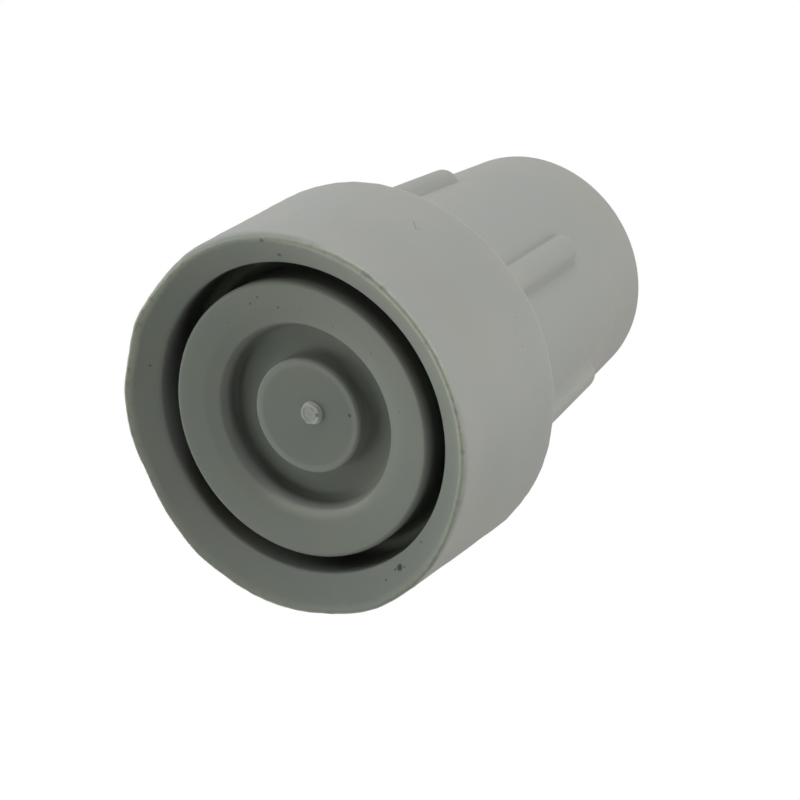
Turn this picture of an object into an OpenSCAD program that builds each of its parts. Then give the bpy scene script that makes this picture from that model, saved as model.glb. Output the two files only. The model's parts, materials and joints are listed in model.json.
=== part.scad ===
// Rubber tip for the end of a walking cane, moulded in one piece.
// Its axis is Z. The foot stands on Z = 0 and the socket for the cane opens upwards.
// The nib left by the mould lies towards +X of the axis.

/* [Foot] */
// Height of the whole tip
tip_h = 49; // [46:0.5:54]
// Diameter of the foot
foot_d = 38; // [36:0.5:44]
// Height of the foot, up to its shoulder
foot_h = 17; // [15:0.5:20]
// Radius of the foot's shoulder
shoulder_r = 0.4; // [0.2:0.1:1.5]
// Radius of the edge that treads on the ground
edge_r = 0.6; // [0.3:0.1:1]

/* [Tread] */
// Width of the flat land that the tip stands on
land_w = 0.8; // [0.4:0.1:1]
// How far the rim's face rises from the land to the groove
rim_rise = 1.4; // [0.6:0.1:2]
// Outer diameter of the groove
groove_d = 31.2; // [30:0.2:32]
// Width of the groove
groove_w = 1.8; // [1.4:0.1:2.6]
// Height of the groove's closed end above the ground
groove_top = 7.3; // [5:0.1:9]
// Height of the ring at its outer lip
ring_outer_z = 1.4; // [0.6:0.1:2.4]
// Height of the ring at its inner lip
ring_inner_z = 2.3; // [1:0.1:3]
// Outer diameter of the channel round the boss
channel_d = 18.8; // [17:0.2:20]
// Diameter of the channel at its closed end
channel_end_d = 17.6; // [15:0.2:20]
// Height of the channel's closed end above the ground
channel_top = 4.2; // [4:0.1:6]
// Diameter of the boss
boss_d = 11.6; // [9:0.2:13]
// Height of the boss's face above the ground
boss_z = 2.6; // [2:0.1:3]
// Radius of the lips of the boss and of the channel
boss_lip_r = 0.5; // [0.3:0.1:0.9]
// Radius of the lips of the groove
lip_r = 0.5; // [0.2:0.1:0.6]
// Radius at the closed end of the channel
bottom_r = 0.4; // [0.2:0.1:1]

/* [Nib] */
// Diameter of the nib at its root
nib_d = 2.4; // [1.5:0.1:3.5]
// Diameter of the nib where it was torn off
nib_tip_d = 2.1; // [1.2:0.1:3]
// How far the nib stands out of the boss
nib_h = 0.4; // [0.2:0.1:1.5]
// Distance of the nib from the axis
nib_off = 0.95; // [0:0.05:2]

/* [Sleeve] */
// Diameter of the sleeve where it leaves the foot
sleeve_d = 30.8; // [28:0.2:32]
// Diameter of the sleeve at its mouth
mouth_d = 24.6; // [24:0.2:27]
// Radius of the mouth's outer edge
mouth_r = 0.8; // [0.4:0.1:1.2]
// Radius between the sleeve and the shoulder
root_r = 0.8; // [0.3:0.1:1.5]

/* [Socket] */
// Diameter of the socket, which grips the cane
bore_d = 19; // [18:0.5:20]
// Depth of the socket, from the mouth
bore_depth = 35; // [30:0.5:37]
// Radius that leads the cane into the mouth
lead_r = 0.8; // [0.3:0.1:1]

/* [Ribs] */
// Number of ribs round the sleeve
rib_count = 6; // [3:1:8]
// Width of a rib
rib_w = 3; // [2.6:0.1:3.6]
// How far a rib stands out of the sleeve
rib_h = 1.3; // [0.6:0.1:1.3]
// Height above the ground at which a rib ends
rib_top = 35.5; // [26:0.5:40]
// Turn of the first rib from the side that the nib lies on
rib_turn = -2; // [-30:1:30]

/* [Hidden] */
$fn = 96;
arc_steps = 6;                                  // straight steps that draw one rounded corner
sink = 1;                                       // how deep added shapes reach into the body
foot_r = foot_d / 2;
groove_r = groove_d / 2;
ring_r = groove_r - groove_w;
groove_end_r = groove_w * 0.4;                  // the groove's closed end is nearly a half round
land_r = foot_r - edge_r - land_w;
floor_z = tip_h - bore_depth;
lean = atan((sleeve_d - mouth_d) / 2 / (tip_h - foot_h));
rib_run = (rib_top - foot_h) / cos(lean) - rib_w / 2;

// Half of the tip's section as [radius, height, corner radius], from the boss round to the socket
section = [
    [0, boss_z, 0],
    [boss_d / 2, boss_z, boss_lip_r],
    [boss_d / 2, channel_top, bottom_r],
    [channel_end_d / 2, channel_top, bottom_r],
    [channel_d / 2, ring_inner_z, boss_lip_r],
    [ring_r, ring_outer_z, lip_r],
    [ring_r, groove_top, groove_end_r],
    [groove_r, groove_top, groove_end_r],
    [groove_r, rim_rise, lip_r],
    [land_r, 0, 0],
    [foot_r, 0, edge_r],
    [foot_r, foot_h, shoulder_r],
    [sleeve_d / 2, foot_h, root_r],
    [mouth_d / 2, tip_h, mouth_r],
    [bore_d / 2, tip_h, lead_r],
    [bore_d / 2, floor_z, 0],
    [0, floor_z, 0]
];

function unit(v) = v / norm(v);

// The shortest turn between two directions, in degrees
function turn(from, to) = (to - from + 540) % 360 - 180;

// Points of the arc that rounds the corner at p, between the corners before and after it
function corner(before, p, after) =
    let (
        at = [p[0], p[1]],
        back = unit([before[0], before[1]] - at),
        ahead = unit([after[0], after[1]] - at),
        half = acos(back * ahead) / 2,
        centre = at + unit(back + ahead) * p[2] / sin(half),
        start = at + back * p[2] / tan(half) - centre,
        end = at + ahead * p[2] / tan(half) - centre,
        first = atan2(start[1], start[0]),
        sweep = turn(first, atan2(end[1], end[0]))
    )
    [for (i = [0:arc_steps])
        let (a = first + sweep * i / arc_steps)
        centre + p[2] * [cos(a), sin(a)]];

// The outline through pts, with each corner rounded by its own radius
function rounded(pts) =
    let (n = len(pts))
    [for (i = [0:n - 1]) each pts[i][2] == 0 ? [[pts[i][0], pts[i][1]]]
        : corner(pts[(i + n - 1) % n], pts[i], pts[(i + 1) % n])];

// Foot, sleeve and socket, turned from one section
module body() {
    rotate_extrude() polygon(rounded(section));
}

// One round-backed rib with a round end, leaning in with the side of the sleeve
module rib() {
    translate([sleeve_d / 2 + rib_h - rib_w / 2, 0, foot_h]) rotate([0, -lean, 0]) {
        translate([0, 0, -sink]) cylinder(d = rib_w, h = sink + rib_run);
        translate([0, 0, rib_run]) sphere(d = rib_w);
    }
}

// Stub of rubber where the moulding was torn from its feed
module nib() {
    translate([nib_off, 0, boss_z - nib_h]) cylinder(d1 = nib_tip_d, d2 = nib_d, h = nib_h);
    translate([nib_off, 0, boss_z]) cylinder(d = nib_d, h = sink);
}

module cane_tip() {
    color("#9da09a") {
        body();
        for (i = [0:rib_count - 1]) rotate([0, 0, rib_turn + i * 360 / rib_count]) rib();
        nib();
    }
}

cane_tip();
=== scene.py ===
import json
import math

import bmesh
import bpy
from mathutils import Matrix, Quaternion, Vector, noise


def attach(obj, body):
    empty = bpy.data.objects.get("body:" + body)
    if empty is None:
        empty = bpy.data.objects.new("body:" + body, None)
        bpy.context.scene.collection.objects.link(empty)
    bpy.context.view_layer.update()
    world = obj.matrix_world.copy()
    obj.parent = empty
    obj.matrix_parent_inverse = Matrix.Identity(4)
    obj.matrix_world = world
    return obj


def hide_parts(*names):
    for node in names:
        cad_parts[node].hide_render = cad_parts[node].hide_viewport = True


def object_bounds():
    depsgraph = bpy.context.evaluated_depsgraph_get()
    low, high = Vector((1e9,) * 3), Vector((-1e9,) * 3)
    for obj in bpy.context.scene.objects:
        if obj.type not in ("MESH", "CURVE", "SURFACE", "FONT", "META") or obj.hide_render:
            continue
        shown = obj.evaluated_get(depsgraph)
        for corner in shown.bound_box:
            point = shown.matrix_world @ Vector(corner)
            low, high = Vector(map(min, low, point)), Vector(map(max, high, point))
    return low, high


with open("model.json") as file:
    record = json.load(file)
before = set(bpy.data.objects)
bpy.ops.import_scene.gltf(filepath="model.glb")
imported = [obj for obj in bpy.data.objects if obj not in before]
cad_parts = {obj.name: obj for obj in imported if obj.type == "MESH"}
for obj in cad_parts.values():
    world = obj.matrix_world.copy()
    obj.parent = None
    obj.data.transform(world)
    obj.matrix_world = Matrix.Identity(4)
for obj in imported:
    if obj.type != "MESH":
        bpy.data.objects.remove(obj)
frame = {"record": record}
cadLow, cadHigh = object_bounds()

mm = 0.001
mounts = {mount["name"]: mount for mount in frame["record"]["mounts"]}
socket = mounts["socket"]
boreRadius = socket["dims"]["r_mm"] * mm
boreFloor = socket["pos_m"][2] - socket["dims"]["length_mm"] * mm / 2
boreLead = cadHigh.z - boreFloor - socket["dims"]["length_mm"] * mm     # rounding that leads the cane in
footRadius = (cadHigh.x - cadLow.x) / 2
tipHeight = cadHigh.z
print("frame: foot radius %.1f mm, height %.1f mm" % (footRadius / mm, tipHeight / mm))


# Shapes that are turned round the axis

def roundCorner(bm, vert, radius, segments):
    ways = [(edge.other_vert(vert).co - vert.co).normalized() for edge in vert.link_edges]
    offset = radius / math.tan(ways[0].angle(ways[1]) / 2)
    bmesh.ops.bevel(bm, geom=[vert], offset=offset, offset_type="OFFSET", segments=segments,
                    profile=0.5, affect="VERTICES", material=-1)


def makeSection(corners):
    # corners: radius, height, rounding, segments of the rounding
    bm = bmesh.new()
    verts = [bm.verts.new((corner[0], 0, corner[1])) for corner in corners]
    for first, second in zip(verts, verts[1:]):
        bm.edges.new((first, second))
    for vert, corner in zip(verts, corners):
        if corner[2] > 0:
            roundCorner(bm, vert, corner[2], corner[3])
    return bm


def splitAt(bm, height):
    bmesh.ops.bisect_plane(bm, geom=bm.verts[:] + bm.edges[:], dist=1e-7,
                           plane_co=(0, 0, height), plane_no=(0, 0, 1))


def splitLong(bm, length, low, high, inner=0):
    for edge in bm.edges[:]:
        heights = [vert.co.z for vert in edge.verts]
        radii = [vert.co.x for vert in edge.verts]
        if min(heights) > low - 1e-6 and max(heights) < high + 1e-6 and min(radii) > inner - 1e-6:
            cuts = math.ceil(edge.calc_length() / length - 1e-6) - 1
            if cuts > 0:
                bmesh.ops.subdivide_edges(bm, edges=[edge], cuts=cuts)


def turn(bm, steps):
    geom = bm.verts[:] + bm.edges[:]
    bmesh.ops.spin(bm, geom=geom, cent=(0, 0, 0), axis=(0, 0, 1), dvec=(0, 0, 0), angle=math.tau,
                   steps=steps, use_merge=True, use_duplicate=False)
    bmesh.ops.remove_doubles(bm, verts=bm.verts[:], dist=1e-7)
    bmesh.ops.recalc_face_normals(bm, faces=bm.faces[:])


def smoothStep(low, high, value):
    t = min(max((value - low) / (high - low), 0), 1)
    return t * t * (3 - 2 * t)


def smoothMax(a, b, blend):
    h = min(max(0.5 + 0.5 * (b - a) / blend, 0), 1)
    return a + (b - a) * h + blend * h * (1 - h)


def swell(angle, middle, half):
    # 1 at the middle direction, fading to 0 at half a width from it, all in degrees
    away = abs((angle - middle + 180) % 360 - 180) / half
    return 0.5 + 0.5 * math.cos(math.pi * min(away, 1))


def widen(vert, times):
    vert.co.x *= times
    vert.co.y *= times


def onFace(angle, radius, height):
    a = math.radians(angle)
    return (radius * math.cos(a), radius * math.sin(a), height)


def newPiece(name, bm, material):
    mesh = bpy.data.meshes.new(name)
    bm.to_mesh(mesh)
    bm.free()
    mesh.materials.append(material)
    mesh.polygons.foreach_set("use_smooth", [True] * len(mesh.polygons))
    piece = bpy.data.objects.new(name, mesh)
    bpy.context.scene.collection.objects.link(piece)
    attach(piece, "root")
    print("%s: %d faces" % (name, len(mesh.polygons)))
    return piece


# Materials: sockets that can be added, multiplied and so on

class Wire:
    def __init__(self, finish, socket):
        self.finish = finish
        self.socket = socket

    def math(self, operation, *values):
        return self.finish.node("ShaderNodeMath", {"operation": operation}, dict(enumerate(values)))

    def __add__(self, other):
        return self.math("ADD", self, other)

    def __radd__(self, other):
        return self.math("ADD", other, self)

    def __sub__(self, other):
        return self.math("SUBTRACT", self, other)

    def __rsub__(self, other):
        return self.math("SUBTRACT", other, self)

    def __mul__(self, other):
        return self.math("MULTIPLY", self, other)

    def __rmul__(self, other):
        return self.math("MULTIPLY", other, self)

    def most(self, other):
        return self.math("MAXIMUM", self, other)


class Finish:
    def __init__(self, owner, output="ShaderNodeOutputMaterial"):
        owner.use_nodes = True
        self.owner = owner
        self.tree = owner.node_tree
        self.tree.nodes.clear()
        self.output = self.tree.nodes.new(output)

    def node(self, kind, settings=None, values=None, output=0):
        made = self.tree.nodes.new(kind)
        for key, value in (settings or {}).items():
            setattr(made, key, value)
        for key, value in (values or {}).items():
            if isinstance(value, Wire):
                self.tree.links.new(value.socket, made.inputs[key])
            else:
                made.inputs[key].default_value = value
        return Wire(self, made.outputs[output])

    def vector(self, operation, values, output=0):
        return self.node("ShaderNodeVectorMath", {"operation": operation}, values, output)

    def mix(self, factor, first, second):
        return self.node("ShaderNodeMix", {"data_type": "RGBA"}, {0: factor, 6: first, 7: second}, 2)

    def between(self, value, low, high):
        settings = {"interpolation_type": "SMOOTHSTEP"}
        return self.node("ShaderNodeMapRange", settings, {"Value": value, "From Min": low, "From Max": high})

    def fade(self, value, low, high):
        return 1 - self.between(value, low, high)

    def within(self, value, low, full, fading, high):
        # 1 from full to fading, and 0 outside low and high
        return self.between(value, low, full) * self.fade(value, fading, high)

    def along(self, place, way):
        return self.vector("DOT_PRODUCT", {0: place, 1: way}, "Value")

    def fromAxis(self, place, offset=0):
        # distance from an upright line that stands off the axis towards +X
        shifted = self.vector("SUBTRACT", {0: place, 1: (offset, 0, 0)})
        flat = self.vector("MULTIPLY", {0: shifted, 1: (1, 1, 0)})
        return self.vector("LENGTH", {0: flat}, "Value")

    def spot(self, place, middle, radius):
        # 1 inside a small ball round a point, fading out at its edge
        away = self.vector("DISTANCE", {0: place, 1: middle}, "Value")
        return self.fade(away, radius * 0.5, radius)

    def noise(self, place, scale, detail=2, roughness=0.5):
        values = {"Vector": place, "Scale": scale, "Detail": detail, "Roughness": roughness}
        return self.node("ShaderNodeTexNoise", {}, values)

    def surface(self, shader):
        self.tree.links.new(shader.socket, self.output.inputs["Surface"])


# The moulding: foot, tread, sleeve and socket in one skin

body = {
    "steps": 400,                  # faces round the axis
    "edge": 0.3 * mm,              # rounding of the edge that treads on the ground
    "wear": ((-75, 48, 1.0 * mm), (42, 45, 0.35 * mm)),    # direction, half the width, added rounding
    "edgeDrop": 0.15 * mm,         # how far below the ground its unrounded corner would lie
    "rimRise": 1.38 * mm,
    "grooveOuter": 15.62 * mm,
    "grooveInner": 13.78 * mm,
    "grooveTop": 7.3 * mm,
    "ringOuter": 1.4 * mm,         # height of the ring at its outer lip
    "crownRadius": 10.9 * mm,      # where it bends down to the channel
    "crownHeight": 1.92 * mm,
    "ringInner": 2.4 * mm,         # and at its inner lip
    "channelRadius": 9.35 * mm,
    "channelEndRadius": 8.75 * mm,
    "channelTop": 4.2 * mm,
    "bossRadius": 5.7 * mm,
    "bossShift": 0.15 * mm,        # how far the boss stands off the axis, towards +X
    "bossTop": 2.6 * mm,
    "bossLip": 0.3 * mm,
    "channelLip": 0.35 * mm,
    "channelEnd": 0.4 * mm,
    "crown": 4 * mm,               # rounding where the ring bends
    "grooveLip": 0.4 * mm,
    "grooveEnd": 0.8 * mm,
    "boreEnd": 0.8 * mm,
    "footHeight": 17 * mm,
    "shoulder": 0.4 * mm,
    "sleeveRadius": 15.4 * mm,
    "sleeveRoot": 0.8 * mm,
    "mouthRadius": 12.3 * mm,
    "mouthEdge": 0.8 * mm,
    "lean": (0.14 * mm, -0.3 * mm),    # how far the mouth stands off the axis
    "groovePull": (122, 45, -0.2 * mm),    # where the groove's outer lip is off its circle: direction,
    "channelPull": (92, 38, 0.25 * mm),    # half the width, change of radius, and the same for the channel's
    "grooveReach": (15.7 * mm, 17.5 * mm),               # radii between which the groove's pull fades
    "channelReach": (8.5 * mm, 9.1 * mm, 9.6 * mm),      # where the channel's starts, is full and fades
    "trimReach": (17 * mm, 18.2 * mm),                   # radii over which the trimming sets in
    "waver": 0.05 * mm,            # unevenness of the trimmed and moulded edges
    "waverReach": (15.9 * mm, 17.5 * mm),
    "waverScales": (0.9, 0.25),    # ripples to a mm
    "bossReach": 6.2 * mm,         # radius within which the boss and the channel's inner wall move together
    "treadTop": 4.3 * mm,          # just above the channel's closed end
    "footFrom": 0.2 * mm,          # how far outside the groove the foot's own shaping starts
    "sleeveFrom": 1.2 * mm,        # how far outside the socket the sleeve's does
    "wornTop": 1.3 * mm,           # heights up to which the worn edge is finely divided
    "wornMiddle": 0.5 * mm,
    "wornFrom": 1 * mm,            # how far outside the groove that starts
    "wornStep": 0.25 * mm,         # longest stretches of the section there, in the tread and elsewhere
    "treadStep": 0.8 * mm,
    "otherStep": 1.5 * mm,
}

trims = [                          # where hand trimming left the tread's edge off its circle
    (-176, -0.10 * mm, 45, 7 * mm),    # direction, change of radius, half the width, height it reaches
    (165, 0.20 * mm, 13, 7 * mm),
    (140, 0.14 * mm, 32, 7 * mm),
    (103, 0.15 * mm, 14, 7 * mm),
    (-169, -0.25 * mm, 15, 7 * mm),
    (-130, -0.28 * mm, 14, 7 * mm),
    (-106, -0.28 * mm, 20, 7 * mm),
    (-35, -0.36 * mm, 42, 9 * mm),
    (5, -0.5 * mm, 40, 9 * mm),
    (50, -0.45 * mm, 50, 9 * mm),
]

ribs = {
    "turns": (0, 57, 117, 177, -123, -64),     # directions, in degrees
    "radius": 1.5 * mm,            # of a rib's round back
    "height": 1.3 * mm,
    "top": 36 * mm,                # height at which a rib ends
    "below": 3 * mm,               # how far below and above that the section is finely divided
    "above": 0.8 * mm,
    "step": 0.22 * mm,
    "fillet": 0.6 * mm,
}

pit = {"angle": 87, "radius": 16.65 * mm, "size": 0.36 * mm, "depth": 0.35 * mm}


def makeBodySection():
    b = body
    bm = makeSection([
        (0, b["bossTop"], 0, 0),
        (b["bossRadius"], b["bossTop"], b["bossLip"], 5),
        (b["bossRadius"], b["channelTop"], b["channelEnd"], 4),
        (b["channelEndRadius"], b["channelTop"], b["channelEnd"], 4),
        (b["channelRadius"], b["ringInner"], b["channelLip"], 5),
        (b["crownRadius"], b["crownHeight"], b["crown"], 5),
        (b["grooveInner"], b["ringOuter"], b["grooveLip"], 5),
        (b["grooveInner"], b["grooveTop"], b["grooveEnd"], 4),
        (b["grooveOuter"], b["grooveTop"], b["grooveEnd"], 4),
        (b["grooveOuter"], b["rimRise"], b["grooveLip"], 5),
        (footRadius, -b["edgeDrop"], b["edge"], 5),
        (footRadius, b["footHeight"], b["shoulder"], 4),
        (b["sleeveRadius"], b["footHeight"], b["sleeveRoot"], 4),
        (b["mouthRadius"], tipHeight, b["mouthEdge"], 6),
        (boreRadius, tipHeight, boreLead, 5),
        (boreRadius, boreFloor, b["boreEnd"], 4),
        (0, boreFloor, 0, 0),
    ])
    ribEnd = (ribs["top"] - ribs["below"], ribs["top"] + ribs["above"])
    for height in (*ribEnd, b["wornTop"], b["wornMiddle"]):
        splitAt(bm, height)
    splitLong(bm, b["wornStep"], 0, b["wornTop"], b["grooveOuter"] + b["wornFrom"])
    splitLong(bm, b["treadStep"], 0, b["channelTop"])
    splitLong(bm, ribs["step"], *ribEnd)
    splitLong(bm, b["otherStep"], 0, tipHeight)
    return bm


def upSleeve(height):
    # 0 at the shoulder and 1 at the mouth
    return (height - body["footHeight"]) / (tipHeight - body["footHeight"])


def sleeveSide(height):
    return body["sleeveRadius"] + (body["mouthRadius"] - body["sleeveRadius"]) * upSleeve(height)


def ribLift(angle, radius, height):
    # how far the nearest rib stands over the sleeve's side at a place, below 0 beside it
    r = ribs["radius"]
    across = min(abs((angle - turned + 180) % 360 - 180) for turned in ribs["turns"])
    off = math.hypot(math.radians(across) * radius, max(height - ribs["top"] + r, 0))
    return math.sqrt(max(r * r - off * off, 0)) - r + ribs["height"] - 2 * max(off - r, 0)


def shapeSleeve(vert, angle, radius):
    side = sleeveSide(vert.co.z) + ribLift(angle, radius, vert.co.z)
    if side > radius - ribs["fillet"]:
        widen(vert, smoothMax(radius, side, ribs["fillet"]) / radius)
    vert.co.x += body["lean"][0] * upSleeve(vert.co.z)
    vert.co.y += body["lean"][1] * upSleeve(vert.co.z)


def shapeFoot(vert, angle, radius):
    # wear rounds the tread's edge, and trimming and moulding leave it off its circle
    z = vert.co.z
    rounding = body["edge"] + sum(swell(angle, middle, half) * more for middle, half, more in body["wear"])
    inward, upward = footRadius - radius - rounding, z - rounding
    out = math.hypot(inward, upward)
    if inward < 0 and upward < 0 and out > rounding:
        inward, upward = inward * rounding / out, upward * rounding / out
        vert.co.z = z = upward + rounding
    wide = footRadius - inward - rounding
    for middle, change, half, reach in trims:
        low = 1 - smoothStep(0.2 * reach, reach, z)
        wide += change * swell(angle, middle, half) * low * smoothStep(*body["trimReach"], radius)
    ripple = sum(noise.noise(vert.co * scale / mm) for scale in body["waverScales"])
    wide += body["waver"] * ripple * smoothStep(*body["waverReach"], radius)
    widen(vert, wide / radius)


def pullLip(vert, angle, radius, pull, share):
    middle, half, change = pull
    widen(vert, 1 + change * swell(angle, middle, half) / radius * share)


def shapeRim(vert, angle, radius, pitMiddle):
    onRim = vert.co.z < body["rimRise"]
    if radius > body["grooveOuter"] + body["footFrom"]:
        shapeFoot(vert, angle, radius)
    if onRim:
        away = math.hypot(vert.co.x - pitMiddle[0], vert.co.y - pitMiddle[1])
        vert.co.z += pit["depth"] * (1 - smoothStep(0, pit["size"], away))
    pullLip(vert, angle, radius, body["groovePull"], 1 - smoothStep(*body["grooveReach"], radius))


def shapeChannel(vert, angle, radius):
    start, full, fading = body["channelReach"]
    share = smoothStep(start, full, radius) * (1 - smoothStep(fading, body["crownRadius"], radius))
    pullLip(vert, angle, radius, body["channelPull"], share)


def shapeBody(bm):
    pitMiddle = onFace(pit["angle"], pit["radius"], 0)
    grooveMiddle = (body["grooveInner"] + body["grooveOuter"]) / 2
    for vert in bm.verts:
        x, y, z = vert.co
        radius = math.hypot(x, y)
        angle = math.degrees(math.atan2(y, x))
        inTread = z < body["treadTop"]
        if z > body["footHeight"] - 1e-6 and radius > boreRadius + body["sleeveFrom"]:
            shapeSleeve(vert, angle, radius)
        elif inTread and radius < body["bossReach"]:
            vert.co.x += body["bossShift"]
        elif inTread and body["channelReach"][0] < radius < body["crownRadius"]:
            shapeChannel(vert, angle, radius)
        elif radius > grooveMiddle:
            shapeRim(vert, angle, radius, pitMiddle)


def makeMoulding(finish):
    bm = makeBodySection()
    print("moulding: section of %d points" % len(bm.verts))
    turn(bm, body["steps"])
    shapeBody(bm)
    moulding = newPiece("rubberMoulding", bm, finish)
    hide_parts("cane_tip")


# The nib, torn off short

nib = {
    "offset": 0.88 * mm,           # from the axis towards +X
    "height": 0.4 * mm,
    "root": 1.15 * mm,             # radii where it leaves the boss, and at its torn end
    "neck": 1.05 * mm,
    "tip": 0.99 * mm,
    "sides": 7,                    # the torn end is faintly many sided
    "facet": 0.035,
    "ripple": 0.05,
    "rag": 0.05 * mm,              # roughness of the torn end
    "burr": 0.06 * mm,             # how far the burr round the torn end stands out,
    "burrFrom": 0.74,              # and the shares of the end's radius between which it rises
    "burrTo": 0.86,
    "sunk": 0.5 * mm,              # how deep the root reaches into the boss
    "steps": 96,                   # faces round its own middle
}


def makeNib(finish):
    n = nib
    face = body["bossTop"]
    end = face - n["height"]
    bm = makeSection([
        (0, end + n["burr"], 0, 0),
        (n["tip"] * n["burrFrom"], end + n["burr"], 0.08 * mm, 3),
        (n["tip"] * n["burrTo"], end, 0.06 * mm, 3),
        (n["tip"], end, 0.06 * mm, 3),
        (n["neck"], face - 0.1 * mm, 0.1 * mm, 2),
        (n["root"], face + 0.02 * mm, 0.05 * mm, 2),
        (n["root"], face + n["sunk"], 0, 0),
        (0, face + n["sunk"], 0, 0),
    ])
    splitLong(bm, 0.1 * mm, end - 0.1 * mm, end + 0.3 * mm)
    splitLong(bm, 0.2 * mm, end, face)
    turn(bm, n["steps"])
    for vert in bm.verts:
        angle = math.atan2(vert.co.y, vert.co.x)
        torn = 1 - smoothStep(0, n["height"] * 0.5, vert.co.z - end)
        ripple = noise.noise(vert.co * 2.2 / mm)
        facet = math.cos(n["sides"] * angle + 1)
        widen(vert, 1 + n["facet"] * torn * facet + n["ripple"] * torn * ripple)
        vert.co.x += n["offset"]
        vert.co.z += n["rag"] * torn * noise.noise(vert.co * 3.1 / mm)
    newPiece("tornNib", bm, finish)


# Rubber

rubber = {
    "grey": (0.335, 0.345, 0.32, 1),
    "warm": (0.36, 0.352, 0.325, 1),
    # pale dust, also the colour of the painted highlight near the ring's inner lip
    "dustAndHighlight": (0.48, 0.48, 0.45, 1),
    "wornEdge": (0.74, 0.73, 0.60, 1),
    # colour of the painted highlights on the channel's lip and the foot's upper edge
    "paleHighlight": (0.56, 0.54, 0.49, 1),
    # dark dirt of the specks and marks, also the colour of the painted shade in the channel and the groove
    "darkDirtAndShade": (0.05, 0.05, 0.045, 1),
    "torn": (0.66, 0.64, 0.61, 1),
    "tornRim": (0.9, 0.87, 0.84, 1),
    "ringPale": 0.2,               # how much paler the ring is, and how much painted highlight is added near its inner lip
    "innerHighlight": 0.15,
    "channelShade": 0.25,           # how much painted shade darkens the channel,
    "cornerShade": 0.35,            # how much more painted shade falls at the foot of its outer wall,
    "grooveShade": 0.75,            # and how much painted shade darkens the groove's inner wall
    "bossPale": 0.6,               # how pale the boss's edge is, how strong the painted highlight on the channel's lip on one side is,
    "lipHighlight": 0.9,
    "wornPaleAndHighlight": (0.2, 0.35),       # the worn edge all round and the painted highlight its near side adds,
    "topHighlight": 0.5,                # and the painted highlight along the foot's upper edge
    "speckDirt": 0.7,
    "markDirt": 0.4,
    "dirtMost": 0.9,
    "pitSize": 0.45,               # of the dirt in the pit, in mm
    "roughness": (0.55, 0.72),
}

bands = {                          # radii in mm between which a mark sets in, and between which it ends
    "ring": (9.3, 9.6, 13.5, 13.8),
    "channel": (5.5, 6.2, 8.9, 9.4),
    "groove": (13.4, 13.8, 14.3, 14.9),
    "lip": (9.0, 9.4, 9.5, 10.5),
}

specks = [                         # angle, radius and size of the marks on the tread, degrees and mm
    (-95, 11.5, 0.16), (-78, 12.0, 0.18), (-73, 12.4, 0.18), (-76, 11.1, 0.16), (-74, 10.9, 0.14),
    (-70, 10.8, 0.16), (-64, 11.1, 0.22), (-59, 11.1, 0.17), (-57, 10.8, 0.14), (-52, 10.8, 0.17),
    (-47, 10.7, 0.14), (-46, 10.5, 0.12), (-42, 10.9, 0.13), (-41, 10.8, 0.15), (-32, 10.4, 0.16),
    (-8, 11.1, 0.19), (6, 11.2, 0.14), (24, 10.9, 0.18), (26, 4.9, 0.24), (-57, 16.5, 0.26),
    (-61, 18.1, 0.28), (74, 16.3, 0.16), (89, 16.6, 0.18), (85, 16.9, 0.16), (94, 17.0, 0.18),
    (-132, 16.6, 0.16),
]

marks = [                          # angle, height and size of the marks on the foot's side
    (-28, 11.0, 0.12), (22, 6.5, 0.12), (22, 12.8, 0.10), (9, 13.6, 0.10), (12, 12.6, 0.10),
    (17, 12.7, 0.13),
]

scratch = {                        # a row of small marks that nearly touch, also on the foot's side
    "from": (-31, 11.6),           # angle and height
    "step": (0.6, -0.2),
    "count": 5,
    "size": 0.14,
}


def ringHeight(radius):
    # height of the tread's surface, in mm, at a radius in mm
    if radius < body["channelRadius"] / mm:
        return body["bossTop"] / mm
    if radius < body["grooveInner"] / mm:
        t = (radius * mm - body["channelRadius"]) / (body["grooveInner"] - body["channelRadius"])
        return (body["ringInner"] + (body["ringOuter"] - body["ringInner"]) * t) / mm
    t = (radius * mm - body["grooveOuter"]) / (footRadius - body["grooveOuter"])
    return (body["rimRise"] - (body["rimRise"] + body["edgeDrop"]) * min(t, 1)) / mm


def scratchMarks():
    (angle, height), (turned, sunk) = scratch["from"], scratch["step"]
    return [(angle + turned * i, height + sunk * i, scratch["size"]) for i in range(scratch["count"])]


def objectPlace(f):
    return f.vector("SCALE", {0: f.node("ShaderNodeTexCoord", output="Object"), "Scale": 1 / mm})


def treadColour(f, place, radius, height):
    # the ring paler, with a painted highlight near its inner lip, and painted shade where the tread is deep
    cloud = f.between(f.noise(place, 0.12, 3), 0.35, 0.65)
    colour = f.mix(cloud, rubber["grey"], rubber["warm"])
    ring = f.within(radius, *bands["ring"]) * f.fade(height, 3, 4)
    # painted highlight near the ring's inner lip
    pale = rubber["ringPale"] + rubber["innerHighlight"] * f.fade(radius, 9.6, 10.6)
    colour = f.mix(ring * pale, colour, rubber["dustAndHighlight"])
    inFoot = f.fade(height, 8, 9)
    corner = f.between(radius, 7.8, 8.5) * f.between(height, 3.1, 3.9)
    farSide = f.between(f.along(place, (-1, 0, 0)), -1, 5)
    channel = f.within(radius, *bands["channel"]) * f.between(height, 2.7, 3.3)
    # painted shade in the channel, more at the foot of its outer wall on the far side
    paintedChannelShade = channel * (rubber["channelShade"] + rubber["cornerShade"] * corner * farSide)
    colour = f.mix(inFoot * paintedChannelShade, colour, rubber["darkDirtAndShade"])
    # painted shade on the groove's inner wall
    wall = f.within(radius, *bands["groove"]) * f.between(height, 1.7, 3.0)
    return f.mix(inFoot * wall * rubber["grooveShade"], colour, rubber["darkDirtAndShade"])


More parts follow.
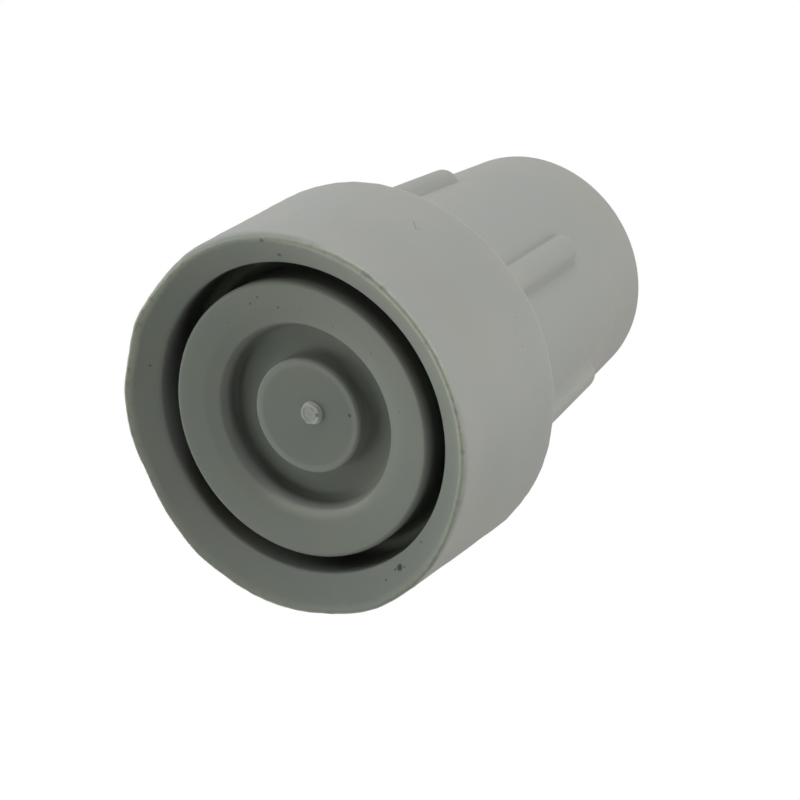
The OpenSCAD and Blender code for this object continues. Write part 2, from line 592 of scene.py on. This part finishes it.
def lipColour(f, colour, place, radius, height):
    # pale edge of the boss, and a painted highlight on the channel's lip on one side
    bossEdge = f.between(f.fromAxis(place, body["bossShift"] / mm), 4.7, 5.2)
    bossEdge = bossEdge * f.fade(radius, 5.9, 6.0) * f.fade(height, 2.7, 3.0)
    colour = f.mix(bossEdge * rubber["bossPale"], colour, rubber["dustAndHighlight"])
    # painted highlight on the channel's lip on one side
    lip = f.spot(place, onFace(118, 9.6, 2.3), 8) * f.within(radius, *bands["lip"]) * f.fade(height, 2.5, 3.0)
    return f.mix(lip * rubber["lipHighlight"], colour, rubber["paleHighlight"])


def edgeColour(f, colour, place, radius, height):
    # ragged pale lines along the foot's lower and upper edges: the lower one worn, with a painted highlight
    # added on its near side, the upper one a painted highlight
    ragged = f.noise(place, 1.1, 3, 0.6)
    allRound, nearHighlight = rubber["wornPaleAndHighlight"]
    nearSide = f.between(f.along(place, (0.65, -0.75, 0)), -14, 6)
    footEdge = f.between(radius, 17.6, 17.8) * f.fade(height + (ragged - 0.5) * 0.3, 0.08, 0.38)
    # the worn lower edge, with a painted highlight added on its near side
    footEdge = footEdge * (allRound + nearHighlight * nearSide) * f.between(ragged, 0.2, 0.55)
    colour = f.mix(footEdge, colour, rubber["wornEdge"])
    below = body["footHeight"] / mm - height
    # painted highlight along the foot's upper edge
    topEdge = f.between(radius, 18.3, 18.5) * f.fade(below + (ragged - 0.5) * 0.25, 0.25, 0.45)
    return f.mix(topEdge * rubber["topHighlight"], colour, rubber["paleHighlight"])


def dirtSpots(f, place):
    dots = []
    for angle, away, size in specks:
        dots.append((onFace(angle, away, ringHeight(away)), size, rubber["speckDirt"]))
    for angle, up, size in scratchMarks() + marks:
        dots.append((onFace(angle, footRadius / mm, up), size, rubber["markDirt"]))
    pitRadius = pit["radius"] / mm
    dirty = f.spot(place, onFace(pit["angle"], pitRadius, ringHeight(pitRadius)), rubber["pitSize"])
    for middle, size, strength in dots:
        dirty = dirty.most(f.spot(place, middle, size) * strength)
    return dirty


def rubberFinish():
    f = Finish(bpy.data.materials.new("greyRubber"))
    place = objectPlace(f)
    radius = f.fromAxis(place)
    height = f.along(place, (0, 0, 1))
    colour = treadColour(f, place, radius, height)
    colour = lipColour(f, colour, place, radius, height)
    colour = edgeColour(f, colour, place, radius, height)
    dirty = dirtSpots(f, place)
    colour = f.mix(dirty * rubber["dirtMost"], colour, rubber["darkDirtAndShade"])
    low, high = rubber["roughness"]
    dull = low + (high - low) * f.noise(place, 0.5, 3)
    bumps = f.noise(place, 3.0, 3, 0.6) - dirty
    bump = f.node("ShaderNodeBump", {}, {"Height": bumps, "Strength": 0.12, "Distance": 0.05 * mm})
    values = {"Base Color": colour, "Roughness": dull, "Normal": bump}
    f.surface(f.node("ShaderNodeBsdfPrincipled", {}, values))
    return f.owner


def tornFinish():
    f = Finish(bpy.data.materials.new("tornRubber"))
    place = objectPlace(f)
    patch = f.between(f.noise(place, 1.6, 3), 0.35, 0.65)
    rim = f.between(f.fromAxis(place, nib["offset"] / mm), 0.6, 0.9)
    colour = f.mix(patch * 0.4, rubber["torn"], rubber["dustAndHighlight"])
    colour = f.mix(rim * 0.5, colour, rubber["tornRim"])
    smear = f.spot(place, (nib["offset"] / mm + 0.62, 0.45, 2.2), 0.28)
    colour = f.mix(smear * 0.6, colour, rubber["darkDirtAndShade"])
    grain = f.noise(place, 6.0, 3, 0.6)
    bump = f.node("ShaderNodeBump", {}, {"Height": grain, "Strength": 0.4, "Distance": 0.05 * mm})
    values = {"Base Color": colour, "Roughness": 0.5 + 0.3 * patch, "Normal": bump}
    f.surface(f.node("ShaderNodeBsdfPrincipled", {}, values))
    return f.owner


makeMoulding(rubberFinish())
makeNib(tornFinish())


# Floor, seen from above only, so that the camera can look up through it at the tread

def floorFinish():
    f = Finish(bpy.data.materials.new("paleFloor"))
    back = f.node("ShaderNodeNewGeometry", output="Backfacing")
    pale = f.node("ShaderNodeBsdfPrincipled", {}, {"Base Color": (0.8, 0.8, 0.8, 1), "Roughness": 0.7})
    clear = f.node("ShaderNodeBsdfTransparent")
    f.surface(f.node("ShaderNodeMixShader", {}, {0: back, 1: pale, 2: clear}))
    return f.owner


def makeFloor():
    bm = bmesh.new()
    bmesh.ops.create_circle(bm, cap_ends=True, cap_tris=False, segments=64, radius=2)
    mesh = bpy.data.meshes.new("floor")
    bm.to_mesh(mesh)
    bm.free()
    mesh.materials.append(floorFinish())
    floor = bpy.data.objects.new("floor", mesh)
    bpy.context.scene.collection.objects.link(floor)
    floor.visible_diffuse = False
    floor.visible_glossy = False
    floor.visible_shadow = False


# Lights and camera

studio = {
    "sky": 0.52,                   # light from above, less of it from the sides
    "skyColour": (1, 0.92, 0.92, 1),
    "distance": 0.9,
    "size": 0.57,
}

tints = {
    "violet": (0.85, 0.8, 1),
    "cool": (0.92, 0.98, 1),
    "mint": (0.87, 1, 0.92),
    "green": (0.85, 1, 0.75),
    "warm": (1, 0.97, 0.92),
}

lamps = [                          # way to the lamp, power, tint
    ("rightLamp", (0.75, 0.6, 0.3), 2.6, "violet"),
    ("backLamp", (-0.15, -0.95, 0.35), 3, "cool"),
    ("leftLamp", (-1, 0.05, 0.15), 9.6, "warm"),
    ("lowLamp", (-0.8, -0.2, -0.55), 2.3, "mint"),
    ("lowRightLamp", (-0.15, 0.85, -0.45), 0.9, "cool"),
    ("lowTopLamp", (-0.2, -0.85, -0.45), 1.2, "mint"),
    ("frontLamp", (-0.3, 0.1, -0.95), 0.35, "green"),
    ("edgeLamp", (0.75, 0.65, 0.05), 2.4, "green"),
    ("edgeTopLamp", (0.7, -0.7, -0.03), 3.85, "cool"),
]

camera = {
    "azimuth": 90, "elevation": -53.64, "roll": 56.88,     # degrees
    "distance": 0.3525,
    "aim": (0, 3.5 * mm, 16.6 * mm),
    "lens": 162.8,
}


def makeWorld():
    world = bpy.data.worlds.new("studio")
    bpy.context.scene.world = world
    f = Finish(world, "ShaderNodeOutputWorld")
    way = f.node("ShaderNodeTexCoord", output="Generated")
    strength = studio["sky"] * f.between(f.along(way, (0, 0, 1)), -1, 1)
    sky = f.node("ShaderNodeBackground", {}, {"Color": studio["skyColour"], "Strength": strength})
    white = f.node("ShaderNodeBackground", {}, {"Color": (1, 1, 1, 1), "Strength": 1})
    seen = f.node("ShaderNodeLightPath", output="Is Camera Ray")
    f.surface(f.node("ShaderNodeMixShader", {}, {0: seen, 1: sky, 2: white}))


def addLamp(name, way, power, tint):
    light = bpy.data.lights.new(name, "AREA")
    light.shape = "DISK"
    light.size = studio["size"]
    light.energy = power
    light.color = tints[tint]
    lamp = bpy.data.objects.new(name, light)
    away = Vector(way).normalized()
    lamp.location = away * studio["distance"] + Vector((0, 0, tipHeight / 2))
    lamp.rotation_mode = "QUATERNION"
    lamp.rotation_quaternion = away.to_track_quat("Z", "Y")
    bpy.context.scene.collection.objects.link(lamp)


def addCamera():
    data = bpy.data.cameras.new("camera")
    data.lens = camera["lens"]
    data.sensor_width = 36
    data.clip_start = 0.01
    data.clip_end = 20
    a, e = math.radians(camera["azimuth"]), math.radians(camera["elevation"])
    back = Vector((math.sin(a) * math.cos(e), -math.cos(a) * math.cos(e), math.sin(e)))
    eye = bpy.data.objects.new("camera", data)
    eye.location = Vector(camera["aim"]) + back * camera["distance"]
    eye.rotation_mode = "QUATERNION"
    roll = Quaternion((0, 0, 1), math.radians(camera["roll"]))
    eye.rotation_quaternion = back.to_track_quat("Z", "Y") @ roll
    bpy.context.scene.collection.objects.link(eye)
    bpy.context.scene.camera = eye


makeFloor()
makeWorld()
for lamp in lamps:
    addLamp(*lamp)
addCamera()
bpy.context.scene.view_settings.view_transform = "Standard"
print("stage: floor, sky, %d lamps and camera" % len(lamps))
